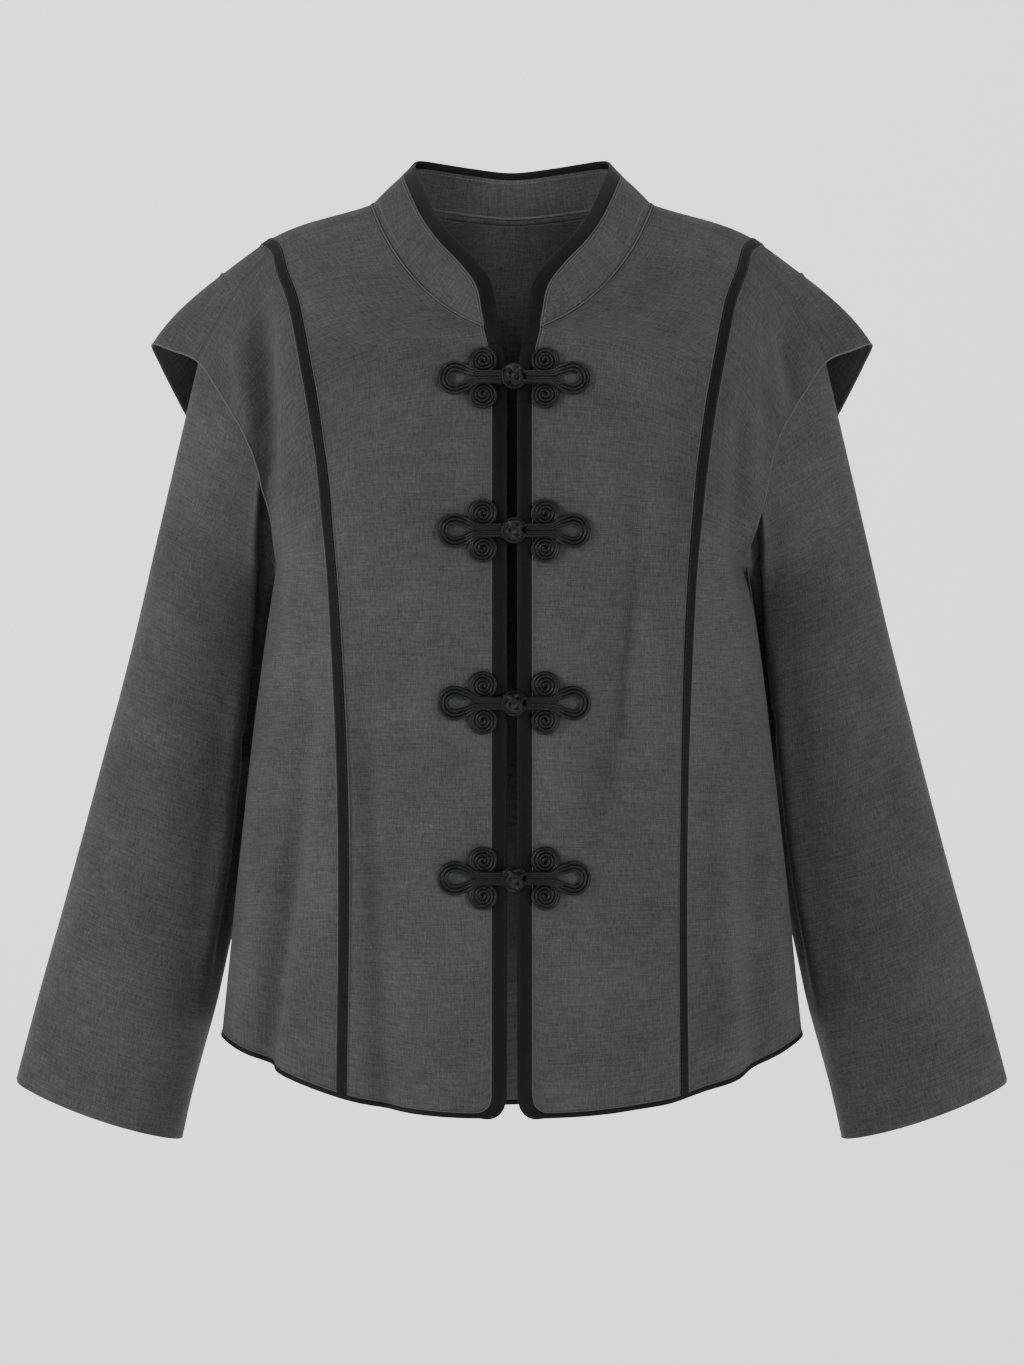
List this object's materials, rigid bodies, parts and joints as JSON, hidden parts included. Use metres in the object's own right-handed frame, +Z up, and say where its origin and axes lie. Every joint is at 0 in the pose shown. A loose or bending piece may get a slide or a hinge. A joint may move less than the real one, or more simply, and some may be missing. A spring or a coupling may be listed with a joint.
{
  "type": "mandarin collar blouse",
  "caption": "Hip-length blouse with a standing mandarin collar, black binding, knotted frogs down the open front and loose shoulder caps over wide straight sleeves.",
  "frame": {"origin": "middle of the neck's base, level with where the shoulders meet the collar", "axes": "+Z up, the front faces -Y, the wearer's left is +X"},
  "size_m": [0.7512, 0.2423, 0.7401],
  "materials": {
    "cloth": "charcoal grey slubbed plain weave, matt",
    "trim": "black woven binding, tape and frog cord with a soft sheen"
  },
  "bodies": {
    "root": {"front_centre_left": "cloth", "front_side_left": "cloth", "back_side_left": "cloth", "sleeve_left": "cloth", "front_centre_right": "cloth", "front_side_right": "cloth", "back_side_right": "cloth", "sleeve_right": "cloth", "back_centre": "cloth", "collar": "cloth", "binding_front_left": "trim", "binding_front_right": "trim", "binding_hem_back": "trim", "binding_collar": "trim", "princess_tape_left": "trim", "princess_tape_right": "trim", "frog_1_left": "trim", "frog_1_right": "trim", "frog_2_left": "trim", "frog_2_right": "trim", "frog_3_left": "trim", "frog_3_right": "trim", "frog_4_left": "trim", "frog_4_right": "trim"}
  },
  "joints": []
}
